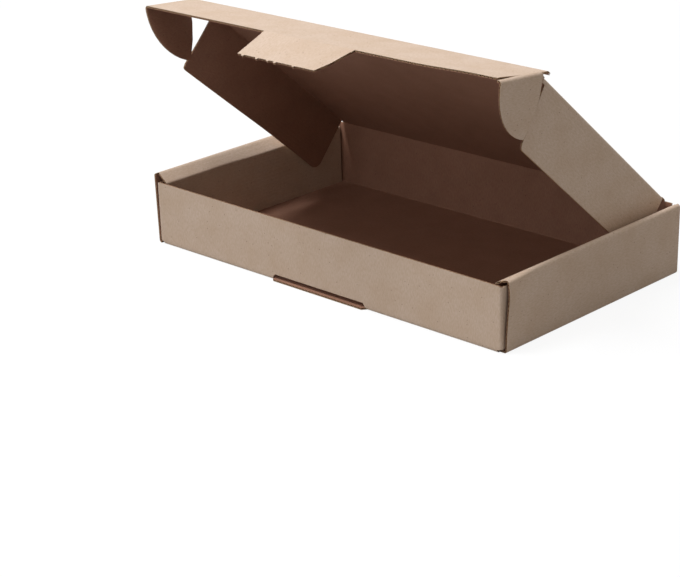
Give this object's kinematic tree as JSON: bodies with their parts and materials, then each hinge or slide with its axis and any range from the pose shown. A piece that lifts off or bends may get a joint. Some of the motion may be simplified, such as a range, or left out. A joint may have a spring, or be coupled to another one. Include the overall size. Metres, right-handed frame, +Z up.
{
  "type": "mailer box",
  "caption": "Shallow die-cut corrugated postal box with rolled side walls and a hinged lid standing open, its front flap ending in ears and a locking tab.",
  "frame": {"origin": "middle of the tray's underside, on the surface it stands on", "axes": "+X across the box to its right side, +Y from the front wall to the hinged back wall, +Z up"},
  "size_m": [0.3531, 0.2312, 0.1896],
  "materials": {
    "kraft_board": "matte"
  },
  "bodies": {
    "tray": {"tray": "kraft_board"},
    "lid": {"lid": "kraft_board"},
    "front_crease": {"front_crease": "kraft_board"},
    "front_flap": {"front_flap": "kraft_board"},
    "left_ear": {"left_ear": "kraft_board"},
    "right_ear": {"right_ear": "kraft_board"},
    "left_side_flap": {"left_side_flap": "kraft_board"},
    "right_side_flap": {"right_side_flap": "kraft_board"},
    "locking_tab": {"locking_tab": "kraft_board"}
  },
  "joints": [
    {"name": "lid_hinge", "type": "hinge", "parent": "tray", "child": "lid", "pos_m": [0, 0.0987, 0.0539], "axis": [-1, 0, 0], "range_deg": [-41.9, 138.9]},
    {"name": "front_crease_turn", "type": "hinge", "parent": "lid", "child": "front_crease", "pos_m": [0, -0.05171, 0.18511], "axis": [-1, 0, 0], "range_deg": [-72.3, 21.9]},
    {"name": "front_flap_fold", "type": "hinge", "parent": "front_crease", "child": "front_flap", "pos_m": [0, -0.05171, 0.18511], "axis": [-1, 0, 0], "range_deg": [-74.1, 100]},
    {"name": "left_ear_fold", "type": "hinge", "parent": "front_flap", "child": "left_ear", "pos_m": [-0.17275, -0.07664, 0.18703], "axis": [0, -0.9971, 0.0767], "range_deg": [-100.5, 18]},
    {"name": "right_ear_fold", "type": "hinge", "parent": "front_flap", "child": "right_ear", "pos_m": [0.17275, -0.07664, 0.18703], "axis": [0, 0.9971, -0.0767], "range_deg": [-98.5, 20]},
    {"name": "left_side_flap_fold", "type": "hinge", "parent": "lid", "child": "left_side_flap", "pos_m": [-0.1624, 0.02334, 0.11964], "axis": [0, 0.7536, -0.6574], "range_deg": [-26, 0]},
    {"name": "right_side_flap_fold", "type": "hinge", "parent": "lid", "child": "right_side_flap", "pos_m": [0.1624, 0.02334, 0.11964], "axis": [0, -0.7536, 0.6574], "range_deg": [-26, 0]},
    {"name": "locking_tab_fold", "type": "hinge", "parent": "front_flap", "child": "locking_tab", "pos_m": [0, -0.09917, 0.18876], "axis": [-1, 0, 0], "range_deg": [-70, 20]}
  ],
  "couplings": [
    {"joint": "front_crease_turn", "follows": "lid_hinge", "ratio": -0.52}
  ]
}
